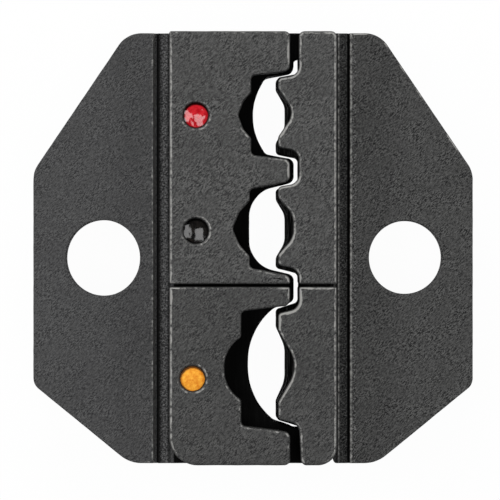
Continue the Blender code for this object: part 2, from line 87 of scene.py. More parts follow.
# Steel of the plates. Manganese phosphate grows as fine crystals on blasted tool steel: a dark grey, matt
# coat with a short diagonal grain, rubbed through to bright steel along the edges, with painted highlight on
# the edges that face the lamps and painted shade on the walls.
steelValues = {
    # grain of the coat, with its size from the photograph, and grinding marks along the crimp edges;
    # turn is in degrees up from the closing direction
    "grain": {"turn": 45, "length": 0.25, "width": 0.1, "detail": 3.0, "roughness": 0.6,
              "distortion": 0.25},
    "streak": {"turn": 90, "length": 2.2, "width": 0.07, "detail": 2.0, "roughness": 0.5,
               "distortion": 0.1},
    "streakRange": (0.5, 0.72),     # of the noise, from the deep to the bright tone
    "grainDepth": 0.024,
    "speckSize": 0.08,              # single crystals, drawn coarser than real so that they show
    "speckDepth": 0.004,
    "speckShare": 0.45,             # of the tone, and the rest is grain
    "toneSwing": 0.07,              # of the noise to either side, from the dark to the light tone
    "calmSize": 1.6,                # patches with more and with less grain
    "calmRange": (0.4, 0.6),
    "calmGrain": 0.5,               # share of the grain that a calm patch keeps
    "patchSize": 4.0,               # slow change of tone over a plate
    "patchTone": 0.05,
    "wearAndLightSize": 0.35,                # length of the worn and highlit stretches of an edge
    "wearAndLightUneven": 0.3,
    "wearAndLightGain": 1.2,                 # what the attribute of wear and painted light adds to an edge where it is 1
    "wearAndLightRange": (1.5, 1.9),         # rim, gain and unevenness together, from no wear or painted highlight to full
    "wearAndLightFade": (1.2, 1.65),         # of rim, where the wear and painted highlight end below the edge
    "wearAndLightStrength": 0.85,
    "wornAndLitSteel": "#969592",
    "wornAndLitMetal": 0.35,
    "roughness": 0.65,
    "wornAndLitRoughness": 0.45,
    "wallRange": (1.3, 1.7),        # of rim, from the edge to the wall
    "slotZone": (4.5, 6.8),         # distance in x, from the walls between the halves to the outer
    "endZone": (17.6, 18.2),        # distance in y over which the end walls begin
    "sideShade": 0.35,              # painted shade on the outer walls, taken off their colour
    "slotShade": 0.68,              # deeper painted shade on the walls between the halves
    "stripRange": (0.3, 0.8),       # worn strips with painted highlight: strength and unevenness, from none to full
    "crustSize": 0.13,              # lumps of phosphate on the floors of the grooves
    "crustRange": (0.42, 0.64),
    "crustTone": (-0.5, 1.1),       # what the crust takes from the tone and adds to it
    "crimpFade": 0.1,
}


def stretchedNoise(tree, place, v):
    # noise drawn out along one direction
    turned = addNode(tree, "Mapping", {"vector_type": "TEXTURE"}, {
        "Vector": place, "Rotation": (0, 0, math.radians(v["turn"])),
        "Scale": (v["length"], v["width"], v["width"]),
    })
    return addNode(tree, "TexNoise", {}, {
        "Vector": turned, "Scale": 1 / mm, "Detail": v["detail"], "Roughness": v["roughness"],
        "Distortion": v["distortion"],
    })


def zoneAlong(tree, along, low, high, start=0.04, finish=0.04):
    # 1 between the two places on an axis, falling to 0 over the lengths start and finish inside them
    begin = addNode(tree, "MapRange", {}, [along, low * mm, (low + start) * mm])
    end = addNode(tree, "MapRange", {}, [along, (high - finish) * mm, high * mm, 1.0, 0.0])
    return addNode(tree, "Math", times, [begin, end])


def phosphatedSteel(name, look):
    material, tree, shader = newMaterial(name)
    place = addNode(tree, "TexCoord", output="Object")
    v = steelValues
    grain = stretchedNoise(tree, place, v["grain"])
    speck, calm, patch, stretch = [
        addNode(tree, "TexNoise", {}, {
            "Vector": place, "Scale": 1 / (size * mm), "Detail": detail, "Roughness": roughness,
        }) for size, detail, roughness in (
            (v["speckSize"], 2.0, 0.6), (v["calmSize"], 1.0, 0.5), (v["patchSize"], 2.0, 0.5),
            (v["wearAndLightSize"], 3.0, 0.65))]

    # tone of the crystals: grain with some single crystals in it, calmer in patches
    mixed = addNode(tree, "Mix", {}, {"Factor": v["speckShare"], "A": grain, "B": speck})
    offset = addNode(tree, "Math", {"operation": "SUBTRACT"}, [mixed, 0.5])
    calm = addNode(tree, "MapRange", smooth, [calm, *v["calmRange"], v["calmGrain"], 1.0])
    swing = addNode(tree, "Math", times, [offset, calm])
    share = addNode(tree, "MapRange", {}, [swing, -v["toneSwing"], v["toneSwing"]])
    tone = addNode(tree, "Mix", inColour, {
        "Factor": share, "A": hexLinear(look["dark"]), "B": hexLinear(look["light"]),
    }, "Result")
    slow = addNode(tree, "MapRange", {}, [patch, *noiseRange, 1 - v["patchTone"], 1 + v["patchTone"]])
    colour = addNode(tree, "VectorMath", scaled, {0: tone, "Scale": slow})

    # rim is 0 on a face, 1 where its edge begins to round and 2 on the wall below; the other attribute is how
    # strongly that edge is worn, plus painted highlight where it faces the lamps
    rim, wearAndPaintedLight = [addNode(tree, "Attribute", {"attribute_name": key}, output="Fac") for key in ("rim", "wearAndPaintedLight")]
    uneven = addNode(tree, "MapRange", {}, [stretch, *noiseRange, -v["wearAndLightUneven"], v["wearAndLightUneven"]])
    edge = addNode(tree, "Math", {"operation": "MINIMUM"}, [rim, 1.0])
    gained = addNode(tree, "Math", timesPlus, [wearAndPaintedLight, v["wearAndLightGain"], edge])
    ragged = addNode(tree, "Math", {"operation": "ADD"}, [gained, uneven])
    wornAndHighlit = addNode(tree, "MapRange", smooth, [ragged, *v["wearAndLightRange"]])
    above = addNode(tree, "MapRange", smooth, [rim, *v["wearAndLightFade"], 1.0, 0.0])
    wearAndHighlight = addNode(tree, "Math", times, [wornAndHighlit, above])

    # painted shade: walls are darker than faces, and darkest between the two halves
    axes = addNode(tree, "SeparateXYZ", {}, [place]).node.outputs
    fromSlot, atEnds = [
        addNode(tree, "MapRange", smooth, [
            addNode(tree, "Math", {"operation": "ABSOLUTE"}, [axes[axis]]), low * mm, high * mm,
        ]) for axis, (low, high) in (("X", v["slotZone"]), ("Y", v["endZone"]))]
    outside = addNode(tree, "Math", largest, [fromSlot, atEnds])
    shade = addNode(tree, "Mix", {}, {"Factor": outside, "A": 1 - v["slotShade"], "B": 1 - v["sideShade"]})
    wall = addNode(tree, "MapRange", smooth, [rim, *v["wallRange"]])
    kept = addNode(tree, "Mix", {}, {"Factor": wall, "A": 1.0, "B": shade})
    colour = addNode(tree, "VectorMath", scaled, {0: colour, "Scale": kept})

    if "crimp" in look:
        # worn strips along the groove edges, also painted highlight where those edges catch the lamps
        for low, high, strength in look["wornAndLitStrips"]:
            zone = zoneAlong(tree, axes["X"], low, high)
            ragged = addNode(tree, "Math", timesPlus, [zone, strength, uneven])
            strip = addNode(tree, "MapRange", smooth, [ragged, *v["stripRange"]])
            wearAndHighlight = addNode(tree, "Math", largest, [wearAndHighlight, strip])
        # painted shade in the grooves, the slits and at the feet of the blocks
        for low, high, strength, start, finish in look["paintedShadeStrips"]:
            zone = zoneAlong(tree, axes["X"], low, high, start, finish)
            kept = addNode(tree, "Math", timesPlus, [zone, -strength, 1.0])
            colour = addNode(tree, "VectorMath", scaled, {0: colour, "Scale": kept})
        lumps = addNode(tree, "TexNoise", {}, {"Vector": place, "Scale": 1 / (v["crustSize"] * mm)})
        crust = addNode(tree, "MapRange", {}, [lumps, *v["crustRange"], *v["crustTone"]])
        for low, high in look["crustStrips"]:
            zone = zoneAlong(tree, axes["X"], low, high)
            kept = addNode(tree, "Math", timesPlus, [zone, crust, 1.0])
            colour = addNode(tree, "VectorMath", scaled, {0: colour, "Scale": kept})
        # painted shade: the crimp edges and the horns, deep between the blocks, are painted near black with
        # streaks of grinding in it, but not the ends of the plate
        low, high, deep, bright = look["crimp"]
        ground = zoneAlong(tree, axes["X"], low, high, v["crimpFade"], v["crimpFade"])
        endWall = addNode(tree, "Math", times, [wall, atEnds])
        zone = addNode(tree, "Mix", {}, {"Factor": endWall, "A": ground, "B": 0.0})
        streak = stretchedNoise(tree, place, v["streak"])
        share = addNode(tree, "MapRange", {}, [streak, *v["streakRange"]])
        steel = addNode(tree, "Mix", inColour, {
            "Factor": share, "A": hexLinear(deep), "B": hexLinear(bright),
        }, "Result")
        colour = addNode(tree, "Mix", inColour, {"Factor": zone, "A": colour, "B": steel}, "Result")
        wearAndHighlight = addNode(tree, "Mix", {}, {"Factor": zone, "A": wearAndHighlight, "B": 0.0})

    # wear along the edges, plus painted highlight on the edges that face the lamps, goes to bright steel
    wearAndHighlight = addNode(tree, "Math", times, [wearAndHighlight, v["wearAndLightStrength"]])
    bright = hexLinear(v["wornAndLitSteel"])
    fine = addNode(tree, "Bump", {}, {
        "Height": speck, "Distance": v["speckDepth"] * mm, "Strength": 1.0,
    })
    feed(tree, shader, {
        "Base Color": addNode(tree, "Mix", inColour, {"Factor": wearAndHighlight, "A": colour, "B": bright}, "Result"),
        "Metallic": addNode(tree, "Math", times, [wearAndHighlight, v["wornAndLitMetal"]]),
        "Roughness": addNode(tree, "MapRange", {}, [wearAndHighlight, 0.0, 1.0, v["roughness"], v["wornAndLitRoughness"]]),
        "Normal": addNode(tree, "Bump", {}, {
            "Height": grain, "Distance": v["grainDepth"] * mm, "Strength": 1.0, "Normal": fine,
        }),
        "Specular IOR Level": look["gloss"],
    })
    return material


# Dark and light tone of each finish, and its gloss, most of which the crystals trap
blockSteel = {"dark": "#161617", "light": "#5e5e5d", "gloss": 0.15}
# the lower blocks get a darker copy of the same steel: painted shade for the light that falls off towards the
# bottom
shadedBlockSteel = {"dark": "#151516", "light": "#555554", "gloss": 0.15}
# Strips run along the row of stations at the relief grooves: (from x, to x, strength): worn strips with
# painted highlight, and strips of painted shade in the grooves, the slits and at the feet of the blocks,
# which also give the lengths over which the shade begins and ends; crimp is (from x, to x, deep and bright
# tone) of the near-black painted shade on the crimp edges, with streaks of grinding in it
nestPlate = {
    "dark": "#2a2a2b", "light": "#5a5a5a", "gloss": 0.04,
    "wornAndLitStrips": ((-8.66, -8.5, 0.4), (-8.54, -8.3, 0.65)),
    "paintedShadeStrips": ((-8.24, -7.62, 0.93, 0.03, 0.38), (-7.3, -7.0, 0.6, 0.04, 0.04)),
    "crustStrips": ((-8.05, -7.1),),
    "crimp": (-6.8, 7.0, "#020202", "#0b0b0b"),
}
indenterPlate = {
    "dark": "#171718", "light": "#5b5b5a", "gloss": 0.04,
    "wornAndLitStrips": ((7.2, 7.37, 0.5), (8.22, 8.46, 0.55)),
    "paintedShadeStrips": ((7.0, 7.22, 0.7, 0.04, 0.04), (7.36, 8.02, 0.35, 0.04, 0.04),
                   (7.98, 8.27, 0.95, 0.04, 0.04)),
    "crustStrips": ((7.36, 8.02), (8.3, 8.8)),
    "crimp": (1.0, 6.9, "#020202", "#424241"),
}
blockFinish = phosphatedSteel("phosphatedBlockSteel", blockSteel)
shadedBlockFinish = phosphatedSteel("phosphatedShadedBlockSteel", shadedBlockSteel)
nestPlateFinish = phosphatedSteel("phosphatedNestPlate", nestPlate)
indenterPlateFinish = phosphatedSteel("phosphatedIndenterPlate", indenterPlate)


# Pins: hardened steel, centreless ground, which leaves fine rings round the pin, and oiled.
pinSteel = {
    "dark": "#3a3936", "light": "#6f6e6a", "stainSize": 0.5, "roughness": (0.28, 0.5),
    "ringSize": 0.12, "ringDepth": 0.002, "ringStrength": 0.6,
}


def groundPinSteel(v):
    material, tree, shader = newMaterial("groundPinSteel")
    place = addNode(tree, "TexCoord", output="Object")
    rings = addNode(tree, "TexWave", {"bands_direction": "Z"}, {
        "Vector": place, "Scale": 1 / (v["ringSize"] * mm), "Distortion": 2.0, "Detail": 2.0,
        "Detail Scale": 2.0,
    }, "Fac")
    stain = addNode(tree, "TexNoise", {}, {
        "Vector": place, "Scale": 1 / (v["stainSize"] * mm), "Detail": 4.0,
    })
    share = addNode(tree, "MapRange", {}, [stain, *noiseRange])
    feed(tree, shader, {
        "Base Color": addNode(tree, "Mix", inColour, {
            "Factor": share, "A": hexLinear(v["dark"]), "B": hexLinear(v["light"]),
        }, "Result"),
        "Metallic": 1.0,
        "Roughness": addNode(tree, "MapRange", {}, [stain, 0.0, 1.0, *v["roughness"]]),
        "Normal": addNode(tree, "Bump", {}, {
            "Height": rings, "Distance": v["ringDepth"] * mm, "Strength": v["ringStrength"],
        }),
    })
    return material


# Marks: drops of stoving enamel, filled into countersunk recesses by hand, so each surface is a little
# uneven. It reflects the lamps, and painted shade darkens it where it meets the recess, most on the side away
# from the lamps.
enamelValues = {
    "cloudSize": 0.4, "cloudRange": (0.35, 0.65), "waveSize": 0.7,
    # clouds and the shaded side move the painted shade at the edge inwards; rim, clouds and shade together,
    # from the colour to the painted shade
    "cloudReach": 0.3, "shadeReach": 0.16, "paintedShadeRange": (1.05, 1.21),
}
enamels = {
    # edge is the colour of the painted shade where the drop meets its recess
    "red": {"deep": "#a80c18", "bright": "#cf2a33", "edge": "#2a0505",
            "roughness": 0.09, "ripple": 0.06, "gloss": 0.5},
    "black": {"deep": "#070808", "bright": "#201d1b", "edge": "#020202",
              "roughness": 0.09, "ripple": 0.03, "gloss": 0.36},
    "yellow": {"deep": "#d67806", "bright": "#fdb53c", "edge": "#6b3d08",
               "roughness": 0.5, "ripple": 0.03, "gloss": 0.15},
}


def stovingEnamel(name, look):
    material, tree, shader = newMaterial(name)
    place = addNode(tree, "TexCoord", output="Object")
    v = enamelValues
    clouds, waves = [
        addNode(tree, "TexNoise", {}, {
            "Vector": place, "Scale": 1 / (size * mm), "Detail": detail, "Roughness": roughness,
        }) for size, detail, roughness in ((v["cloudSize"], 4.0, 0.65), (v["waveSize"], 1.0, 0.5))]
    share = addNode(tree, "MapRange", {}, [clouds, *v["cloudRange"]])
    colour = addNode(tree, "Mix", inColour, {
        "Factor": share, "A": hexLinear(look["deep"]), "B": hexLinear(look["bright"]),
    }, "Result")
    # rim is 0 in the middle of the drop and 1 at its wall, and the other attribute is its side away from the
    # lamps, where more shade is painted
    rim, shade = [addNode(tree, "Attribute", {"attribute_name": key}, output="Fac") for key in ("rim", "wearAndPaintedLight")]
    reach = addNode(tree, "Math", timesPlus, [clouds, v["cloudReach"], rim])
    reach = addNode(tree, "Math", timesPlus, [shade, v["shadeReach"], reach])
    # how far the painted shade of the recess reaches into the drop
    outer = addNode(tree, "MapRange", smooth, [reach, *v["paintedShadeRange"]])
    feed(tree, shader, {
        "Base Color": addNode(tree, "Mix", inColour, {
            "Factor": outer, "A": colour, "B": hexLinear(look["edge"]),
        }, "Result"),
        "Normal": addNode(tree, "Bump", {}, {
            "Height": waves, "Distance": look["ripple"] * mm, "Strength": 1.0,
        }),
        "Roughness": look["roughness"],
        "Specular IOR Level": look["gloss"],
    })
    return material


pinFinish = groundPinSteel(pinSteel)
markFinishes = {name: stovingEnamel(name + "StovingEnamel", look) for name, look in enamels.items()}
print("materials made")


# Outline of a plate: a closed list of corners (x, y, fillet radius), counter-clockwise. Every fillet
# becomes an arc: centre of the fillet plus its arm, turned by a share t of the corner's angle.
outlineValues = {
    "arcSteps": 14,
    "shareOfEdge": 0.98,        # of a side that its two fillets may take
    "shareOfRadius": 0.8,       # of a corner's radius that the rim may be inset
    "waviness": 0.02,           # how far a blasted outline wanders inwards
    "waves": ((2.1, 1.3, 0.0), (-1.9, 3.7, 1.0), (5.3, 4.9, 2.0)),
    "step": 0.6,                # longest piece of a straight side
    "noLimit": 1e3,             # inset where nothing limits it
}


def cornerFrames(corners):
    # unit direction into each corner, and the signed angle by which the outline turns there
    place = corners[:, :2]
    into = place - np.roll(place, 1, axis=0)
    out = np.roll(place, -1, axis=0) - place
    into = into / np.linalg.norm(into, axis=1, keepdims=True)
    out = out / np.linalg.norm(out, axis=1, keepdims=True)
    turn = np.arctan2(into[:, 0] * out[:, 1] - into[:, 1] * out[:, 0], (into * out).sum(axis=1))
    return into, turn


def fitFillets(corners):
    # fillets shrink in proportion where the two on one side need more than the side's length
    into, turn = cornerFrames(corners)
    reach = corners[:, 2] * np.tan(np.abs(turn) / 2)
    side = np.linalg.norm(np.roll(corners[:, :2], -1, axis=0) - corners[:, :2], axis=1)
    share = np.minimum(1.0, outlineValues["shareOfEdge"] * side / (reach + np.roll(reach, -1) + 1e-9))
    fitted = corners.copy()
    fitted[:, 2] *= np.minimum(share, np.roll(share, 1))
    return fitted


def outlinePath(corners):
    # arcs as a grid of corner by share of its turn: points, outward directions, deepest inset
    corners = fitFillets(np.array(corners, dtype=float))
    into, turn = cornerFrames(corners)
    side = np.sign(turn)
    radius = corners[:, 2]
    reach = radius * np.tan(np.abs(turn) / 2)
    left = np.stack([-into[:, 1], into[:, 0]], axis=1)
    centre = corners[:, :2] - into * reach[:, None] + left * (side * radius)[:, None]
    t = np.linspace(0, 1, outlineValues["arcSteps"] + 1)
    angle = turn[:, None] * t[None, :]
    outward = np.stack([
        -left[:, :1] * np.cos(angle) + left[:, 1:] * np.sin(angle),
        -left[:, :1] * np.sin(angle) - left[:, 1:] * np.cos(angle),
    ], axis=-1)
    points = (centre[:, None, :] + outward * (side * radius)[:, None, None]).reshape(-1, 2)
    most = np.where(side > 0, radius * outlineValues["shareOfRadius"], outlineValues["noLimit"])
    table = np.concatenate([points, outward.reshape(-1, 2), np.repeat(most, len(t))[:, None]], axis=1)
    # long straight sides get points in between, and there the inset isn't limited
    after = np.roll(table, -1, axis=0)
    length = np.linalg.norm(after[:, :2] - points, axis=1)
    parts = np.ceil(length / outlineValues["step"]).astype(int).clip(1)
    row = np.repeat(np.arange(len(table)), parts)
    number = np.arange(len(row)) - np.repeat(np.cumsum(parts) - parts, parts)
    share = (number / parts[row])[:, None]
    full = table[row] * (1 - share) + after[row] * share
    full[:, 4] = np.where(number > 0, outlineValues["noLimit"], table[row, 4])
    return full[:, :2], full[:, 2:4], full[:, 4]


def wandering(points):
    # small inward wander of an outline: sum of three sines of the place, brought to 0 to 1
    x, y = points[:, 0], points[:, 1]
    wave = sum(np.sin(a * x + b * y + c) for a, b, c in outlineValues["waves"])
    return (wave + 3) / 6


def edgeRows(low, high, roundLow, roundHigh, band, steps=6):
    # profile of the rim as rows of (inset, height, rim): a quarter circle at each face that is
    # rounded, and beside it a flat band on the face; rim is 0, 1 and 2 as the finish reads it
    angle = np.linspace(0, math.pi / 2, steps + 1)
    bottom, top = np.array([[0.0, low, 2.0]]), np.array([[0.0, high, 2.0]])
    if roundLow:
        inset, height = roundLow * (1 - np.sin(angle)), low + roundLow * (1 - np.cos(angle))
        curve = np.stack([inset, height, 1 + angle / (math.pi / 2)], axis=1)
        bottom = np.concatenate([[[roundLow + band, low, 0.0]], curve])
    if roundHigh:
        inset, height = roundHigh * (1 - np.cos(angle)), high - roundHigh * (1 - np.sin(angle))
        curve = np.stack([inset, height, 2 - angle / (math.pi / 2)], axis=1)
        top = np.concatenate([curve, [[roundHigh + band, high, 0.0]]])
    return np.concatenate([bottom, top])


def shareOfWearAndPaintedLight(points, outward, wearAndPaintedLightShares):
    # painted highlight and shade by the way an edge faces, and wear with painted highlight added round some
    # places
    x, y = outward[..., 0], outward[..., 1]
    share = wearAndPaintedLightShares["left"] * np.maximum(-x, 0) + wearAndPaintedLightShares["right"] * np.maximum(x, 0)
    share = share + wearAndPaintedLightShares["up"] * np.maximum(y, 0) + wearAndPaintedLightShares["down"] * np.maximum(-y, 0)
    for placeX, placeY, reach, gain in wearAndPaintedLightShares["places"]:
        square = (points[..., 0] - placeX) ** 2 + (points[..., 1] - placeY) ** 2
        share = share + gain * np.exp(-square / reach ** 2)
    return share


def wallFaces(rowCount, ringCount, first):
    # quads between neighbouring rows of closed rings
    row, ring = np.meshgrid(np.arange(rowCount - 1), np.arange(ringCount), indexing="ij")
    after = (ring + 1) % ringCount
    quads = [row * ringCount + ring, row * ringCount + after,
             (row + 1) * ringCount + after, (row + 1) * ringCount + ring]
    return first + np.stack(quads, axis=-1).reshape(-1, 4)


def ringGrid(centre, rows, sides, stretch=0.0, wearAndPaintedLightShares=None):
    # surface of revolution, taller than wide by the stretch: angle by row of (radius, height, rim)
    angle = np.arange(sides) * 2 * math.pi / sides
    rows = np.array(rows, dtype=float)
    x = centre[0] + rows[:, :1] * np.cos(angle)
    y = centre[1] + (rows[:, :1] + stretch / 2) * np.sin(angle)
    z, rim = [np.repeat(rows[:, column:column + 1], sides, axis=1) for column in (1, 2)]
    wearAndPaintedLight = np.zeros_like(rim)
    if wearAndPaintedLightShares:
        inwards = -np.stack([np.cos(angle), np.sin(angle)], axis=-1)
        wearAndPaintedLight = shareOfWearAndPaintedLight(np.stack([x, y], axis=-1), inwards[None], wearAndPaintedLightShares) * (rim > 0)
    return np.stack([x, y, z, rim, wearAndPaintedLight], axis=-1)


meshValues = {"roundBelow": 0.9995, "sharpAngle": 38}   # z of a flat face's direction, and degrees


def finishPiece(name, grids, caps, material, body, node, cutters=()):
    # the grids of one piece become a mesh, and each cap is filled between the rings named for it
    rows = np.concatenate([grid.reshape(-1, 5) for grid in grids])
    points = rows[:, :3] * mm
    starts = np.cumsum([0] + [grid.shape[0] * grid.shape[1] for grid in grids])
    faces = np.concatenate([wallFaces(grid.shape[0], grid.shape[1], start)
                            for grid, start in zip(grids, starts)])
    mesh = bpy.data.meshes.new(name)
    mesh.from_pydata(points, [], faces.tolist())
    # column 4 holds the share of wear plus painted highlight and shade, set by the way each edge faces
    for column, attribute in ((3, "rim"), (4, "wearAndPaintedLight")):
        values = np.ascontiguousarray(rows[:, column])
        mesh.attributes.new(attribute, "FLOAT", "POINT").data.foreach_set("value", values)
    shape = bmesh.new()
    shape.from_mesh(mesh)
    shape.verts.ensure_lookup_table()
    for cap in caps:
        edges = []
        for number, row in cap:
            count = grids[number].shape[1]
            first = starts[number] + (row % grids[number].shape[0]) * count
            ring = [shape.verts[int(first + i)] for i in range(count)]
            edges += [shape.edges.get((a, b)) for a, b in zip(ring, ring[1:] + ring[:1])]
        bmesh.ops.triangle_fill(shape, use_beauty=True, edges=edges)
    bmesh.ops.recalc_face_normals(shape, faces=shape.faces)
    shape.to_mesh(mesh)
    shape.free()
    piece = bpy.data.objects.new(name, mesh)
    bpy.context.scene.collection.objects.link(piece)
    if cutters:
        for cutter in cutters:
            cut = piece.modifiers.new("groove", "BOOLEAN")
            cut.operation = "DIFFERENCE"
            cut.solver = "EXACT"
            cut.object = cutter
        bpy.context.view_layer.update()
        done = bpy.data.meshes.new_from_object(piece.evaluated_get(bpy.context.evaluated_depsgraph_get()))
        piece.modifiers.clear()
        piece.data = done
        bpy.data.meshes.remove(mesh)
        mesh = done
        for cutter in cutters:
            bpy.data.objects.remove(cutter)
    # flat faces are shaded flat, and everything between them is round
    direction = np.empty(len(mesh.polygons) * 3)
    mesh.polygons.foreach_get("normal", direction)
    upright = np.abs(direction.reshape(-1, 3)[:, 2])
    mesh.polygons.foreach_set("use_smooth", upright < meshValues["roundBelow"])
    mesh.materials.clear()
    mesh.materials.append(material)
    mesh.set_sharp_from_angle(angle=math.radians(meshValues["sharpAngle"]))
    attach(piece, body)
    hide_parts(node)
    return piece


def plateGrid(corners, rows, wearAndPaintedLightShares):
    # rim profile carried along the outline: point minus outward direction times inset, and at an
    # outer corner the inset stays under the radius of the corner
    points, outward, most = outlinePath(corners)
    points = points - outward * (outlineValues["waviness"] * wandering(points))[:, None]
    inset = np.minimum(rows[:, :1], most[None])
    ring = points[None] - outward[None] * inset[:, :, None]
    height, rim = [np.broadcast_to(rows[:, column:column + 1], inset.shape) for column in (1, 2)]
    wearAndPaintedLight = shareOfWearAndPaintedLight(points, outward, wearAndPaintedLightShares)[None] * (rim > 0)
    return np.concatenate([ring, height[..., None], rim[..., None], wearAndPaintedLight[..., None]], axis=-1)


# Sizes that the plates share, read from the boxes of the CAD pieces where a box shows them, and the
# profiles, which no box shows, with the values of the solids
def cadEnds(node):
    return np.round(np.array(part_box(node)) / mm, 4)


def cadCentre(node):
    return tuple(cadEnds(node).mean(axis=0)[:2].tolist())


fit = {
    "landGap": 0.37, "frontNestSetback": 0.31, "rearNestSetback": 0.03,
    "frontIndenterSetback": 0.035, "rearIndenterAdvance": 0.03, "slotGap": 0.2,
    "toothHeight": 1.77, "layerExtra": 0.05, "wireValleyDepth": 0.76, "valleyExtra": 0.16,
    "toothRise": 0.2, "wireGap": 0.2, "mouthRound": 0.6, "shoulderRound": 0.4,
    "rootRound": 0.9, "wireRootRound": 0.4, "tipRound": 0.4, "toothRound": 0.7,
}
carrierEnds, blockEnds = cadEnds("nest_carrier"), cadEnds("nest_front_upper")
toothEnds = cadEnds("indenter_front_upper")
stack = {
    "carrierLow": carrierEnds[0, 2], "carrierHigh": carrierEnds[1, 2],
    "frontLow": blockEnds[0, 2], "frontHigh": blockEnds[1, 2],
    "rearHigh": cadEnds("nest_rear_upper")[1, 2],
}
plan = {
    "halfWidth": cadEnds("indenter_carrier")[1, 0], "carrierTop": carrierEnds[1, 1],
    "nestBack": blockEnds[0, 0], "nestLand": blockEnds[1, 0] + fit["frontNestSetback"],
    "indenterLand": toothEnds[0, 0] + fit["toothHeight"] - fit["frontIndenterSetback"],
    "indenterBack": toothEnds[1, 0], "blockTop": blockEnds[1, 1],
    "seamTop": blockEnds[0, 1], "seamBottom": cadEnds("nest_front_lower")[1, 1],
    "hornTip": carrierEnds[1, 0], "slotEnd": carrierEnds[1, 0] + fit["landGap"] + fit["slotGap"],
    "upperHorn": 16.09, "lowerHorn": -15.25, "hornGap": 0.1,
    "flapTopCut": 7.95, "flapTopDrop": 11.75, "flapFootCut": 8.2, "flapFootRise": 6.7,
    "flapTopRound": 2.3, "flapFootRound": 3.0, "flapSideRound": 1.2,
    "nestBore": {"place": (-12.765, -0.83), "diameter": 6.29, "stretch": 0.16},
    "indenterBore": {"place": (12.97, -0.79), "diameter": 6.22, "stretch": 0.0},
}
red = {
    "centre": 11.27, "mouth": 3.72, "shoulder": 3.35, "shoulderDepth": 3.3, "recess": 1.95,
    "belly": 1.15, "bellyDepth": 3.98, "bellyRound": 1.2,
    "recessDepth": 4.35, "floor": 0.1, "floorRound": 0.3, "wireShoulder": 3.25,
    "wireShoulderDepth": 2.43, "wireShoulderRound": 0.6, "wireFloor": 1.42, "wireDepth": 3.46,
    "wireRound": 5.0, "wireRise": 0.0, "root": 3.22, "tip": 2.95, "tooth": 2.05, "valley": 0.4,
    "valleyDepth": 1.1, "valleyRound": 1.4, "wireTooth": 2.25, "wireValley": 0.94,
}
black = {
    "centre": 1.67, "mouth": 3.96, "shoulder": 3.32, "shoulderDepth": 3.42, "recess": 2.35,
    "belly": 1.35, "bellyDepth": 4.3, "bellyRound": 1.4,
    "recessDepth": 4.82, "floor": 0.15, "floorRound": 0.4, "wireShoulder": 3.32,
    "wireShoulderDepth": 2.64, "wireShoulderRound": 2.4, "wireFloor": 1.91, "wireDepth": 3.78,
    "wireRound": 2.5, "wireRise": 0.0, "root": 3.66, "tip": 3.34, "tooth": 2.4, "valley": 0.95,
    "valleyDepth": 1.28, "valleyRound": 1.6, "wireTooth": 2.47, "wireValley": 1.2,
}
yellow = {
    "centre": -10.2, "mouth": 5.35, "shoulder": 4.83, "shoulderDepth": 4.14, "recess": 2.64,
    "recessDepth": 5.56, "floor": 1.65, "floorRound": 2.9, "wireShoulder": 4.81,
    "wireShoulderDepth": 1.68, "wireShoulderRound": 1.0, "wireFloor": 2.92, "wireDepth": 3.89,
    "wireRound": 6.2, "wireRise": 0.3, "root": 4.92, "tip": 4.5, "tooth": 3.0, "valley": 0.75,
    "valleyDepth": 1.33, "valleyRound": 2.6, "wireTooth": 3.15, "wireValley": 1.45,
}


def stationEdge(centre, land, half):
    # corners of one station from bottom to top, mirrored on its centre line
    lower = [(land - depth, centre - width, radius) for depth, width, radius in half]
    return lower + [(x, 2 * centre - y, radius) for x, y, radius in reversed(lower)]


def nestEdge(land, size):
    # insulation nest as (depth, half width, fillet): mouth, shoulder, step to the recess, belly, floor
    belly = [(size["bellyDepth"], size["belly"], size["bellyRound"])] if "belly" in size else []
    return stationEdge(size["centre"], land, [
        (0, size["mouth"], fit["mouthRound"]),
        (size["shoulderDepth"], size["shoulder"], fit["shoulderRound"]),
        (size["shoulderDepth"], size["recess"], fit["shoulderRound"]),
        *belly,
        (size["recessDepth"], size["floor"], size["floorRound"]),
    ])


def wireNestEdge(land, size):
    # conductor nest: mouth, shoulder and one wide curve as the floor
    return stationEdge(size["centre"] + size["wireRise"], land, [
        (0, size["mouth"], fit["mouthRound"]),
        (size["wireShoulderDepth"], size["wireShoulder"], size["wireShoulderRound"]),
        (size["wireDepth"], size["wireFloor"], size["wireRound"]),
    ])


def toothEdge(land, size):
    # insulation teeth, from the land towards the nest: root, two tips, and a rounded valley between
    return stationEdge(size["centre"] + fit["toothRise"], land, [
        (0, size["root"], fit["rootRound"]),
        (fit["toothHeight"], size["tip"], fit["tipRound"]),
        (fit["toothHeight"], size["tooth"], fit["toothRound"]),
        (fit["toothHeight"] - size["valleyDepth"], size["valley"], size["valleyRound"]),
    ])


def wireToothEdge(land, size, layer):
    # conductor teeth: their flanks follow the slope of the nest's mouth at a set gap, and they are
    # taller and their valley flatter in the rear block (layer 2) than in the carrier (layer 1)
    slope = (size["mouth"] - size["wireShoulder"]) / size["wireShoulderDepth"]
    height = fit["toothHeight"] + fit["layerExtra"] * layer
    depth = fit["wireValleyDepth"] + fit["valleyExtra"] * (2 - layer)
    return stationEdge(size["centre"] + size["wireRise"], land, [
        (0, size["mouth"] + slope * fit["landGap"] - fit["wireGap"], fit["wireRootRound"]),
        (height, size["mouth"] + slope * (fit["landGap"] - height) - fit["wireGap"], fit["tipRound"]),
        (height, size["wireTooth"], fit["toothRound"]),
        (height - depth, size["wireValley"], size["valleyRound"]),
    ])


